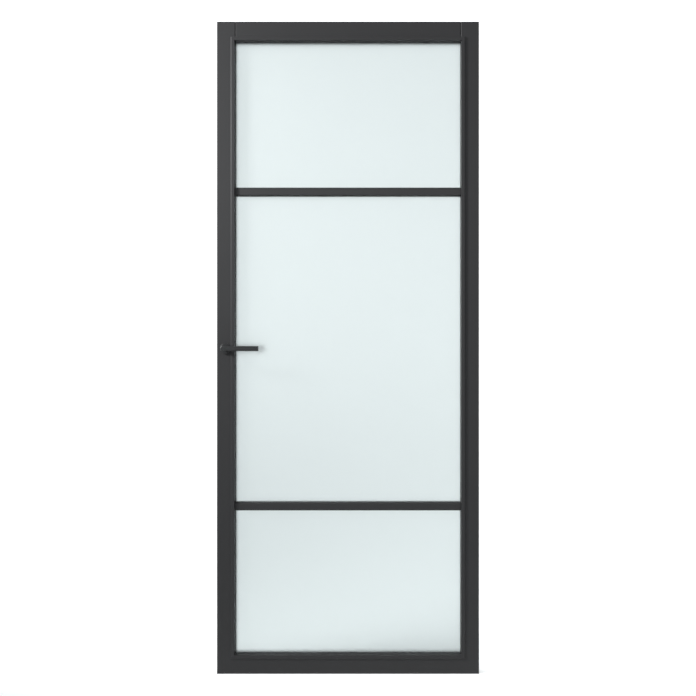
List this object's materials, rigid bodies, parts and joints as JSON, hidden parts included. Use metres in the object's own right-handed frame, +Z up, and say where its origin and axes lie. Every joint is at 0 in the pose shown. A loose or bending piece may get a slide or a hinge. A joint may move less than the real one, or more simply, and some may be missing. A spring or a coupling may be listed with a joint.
{
  "type": "interior glass door leaf",
  "caption": "Tall narrow interior door leaf: dark frame with raised glazing beads, satin glass, two cross bars and a lever that draws a magnetic latch.",
  "frame": {"origin": "middle of the leaf's bottom edge", "axes": "+X across the leaf from the lock edge to the hinge edge, -Y out of the front face, +Z up"},
  "size_m": [0.93, 0.149, 2.315],
  "materials": {
    "lacquered_frame": "silk matt lacquer",
    "beech_dowel": "raw",
    "satin_glass": "satin",
    "block_plastic": "matt",
    "seal_rubber": "matt",
    "plated_steel": "zinc plated",
    "brushed_faceplate": "brushed",
    "bolt_plastic": "matt",
    "coated_handle": "satin powder coat"
  },
  "bodies": {
    "leaf": {"lock_stile": "lacquered_frame", "hinge_stile": "lacquered_frame", "top_rail": "lacquered_frame", "bottom_rail": "lacquered_frame", "front_bead_top": "lacquered_frame", "front_bead_bottom": "lacquered_frame", "front_bead_lock": "lacquered_frame", "front_bead_hinge": "lacquered_frame", "back_bead_top": "lacquered_frame", "back_bead_bottom": "lacquered_frame", "back_bead_lock": "lacquered_frame", "back_bead_hinge": "lacquered_frame", "front_bar_upper": "lacquered_frame", "front_bar_lower": "lacquered_frame", "back_bar_upper": "lacquered_frame", "back_bar_lower": "lacquered_frame", "corner_dowels": "beech_dowel", "glass_pane": "satin_glass", "setting_blocks": "block_plastic", "location_blocks": "block_plastic", "front_seal": "seal_rubber", "back_seal": "seal_rubber", "bar_tapes": "seal_rubber", "bead_pins": "plated_steel", "faceplate_screws": "plated_steel", "latch_case": "plated_steel", "latch_case_cover": "plated_steel", "case_screws": "plated_steel", "latch_spring": "plated_steel", "lever_spring": "plated_steel", "front_rose_plate": "plated_steel", "back_rose_plate": "plated_steel", "rose_screws": "plated_steel", "latch_faceplate": "brushed_faceplate", "front_rose_cover": "coated_handle", "back_rose_cover": "coated_handle"},
    "handle": {"follower": "plated_steel", "spindle": "plated_steel", "front_lever": "coated_handle", "back_lever": "coated_handle", "lever_grub_screws": "plated_steel"},
    "latch": {"latch_bolt": "bolt_plastic", "latch_magnet": "plated_steel"}
  },
  "joints": [
    {"name": "lever_turn", "type": "hinge", "parent": "leaf", "child": "handle", "pos_m": [-0.435, 0, 1.1545], "axis": [0, 1, 0], "range_deg": [0, 40], "stiffness_Nm_per_rad": 1.5, "springref_deg": -9.74, "deforming": ["lever_spring"]},
    {"name": "latch_slide", "type": "slide", "parent": "leaf", "child": "latch", "axis": [-1, 0, 0], "range_m": [0, 0.011], "stiffness_N_per_m": 60, "springref_m": -0.004, "deforming": ["latch_spring"]}
  ]
}
